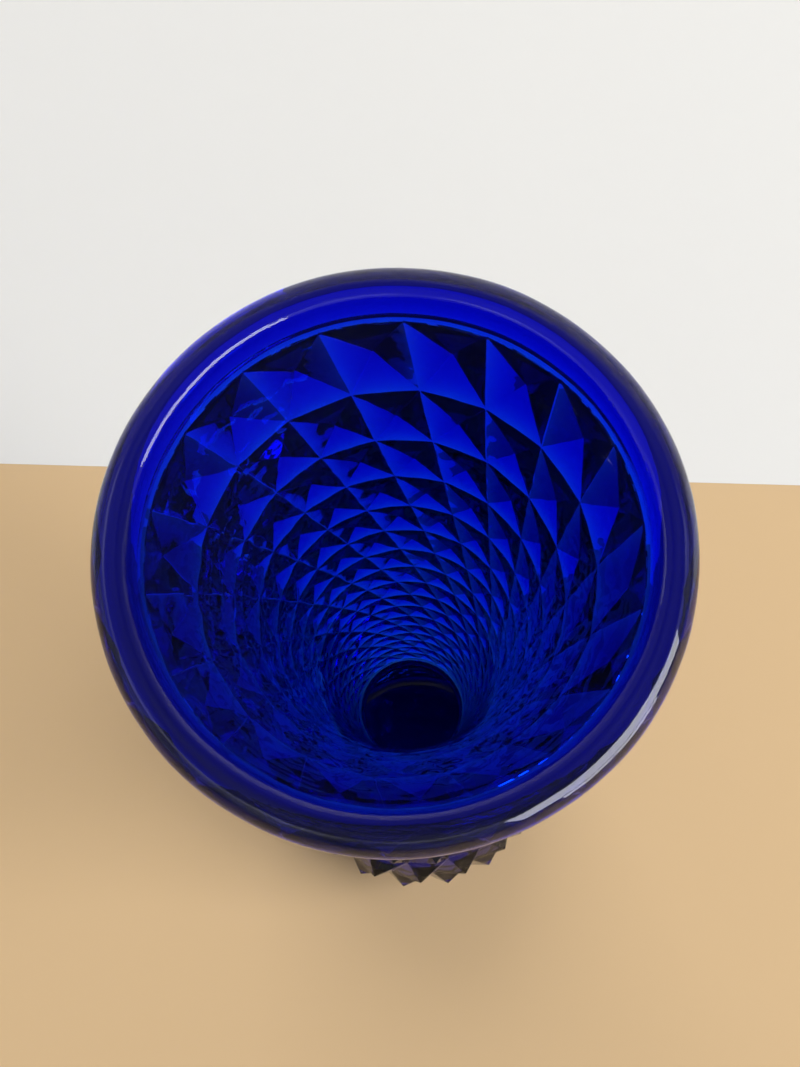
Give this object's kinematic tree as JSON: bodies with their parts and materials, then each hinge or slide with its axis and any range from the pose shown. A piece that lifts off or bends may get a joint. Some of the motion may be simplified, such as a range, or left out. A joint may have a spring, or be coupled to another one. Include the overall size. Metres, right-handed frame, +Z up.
{
  "type": "hyacinth forcing vase",
  "caption": "Tall blue glass vase with a trumpet cup for a bulb, diamond points outside, a narrow neck and a root chamber on a solid foot.",
  "frame": {"origin": "centre of the foot's resting ring, on the table", "axes": "+Z up the vase's axis, out of the mouth"},
  "size_m": [0.092, 0.092, 0.2217],
  "materials": {
    "cobalt_glass": "fire-polished clear cobalt glass"
  },
  "bodies": {
    "root": {"rim_bead": "cobalt_glass", "bulb_cup": "cobalt_glass", "neck_ring": "cobalt_glass", "root_chamber": "cobalt_glass", "foot_disc": "cobalt_glass"}
  },
  "joints": []
}
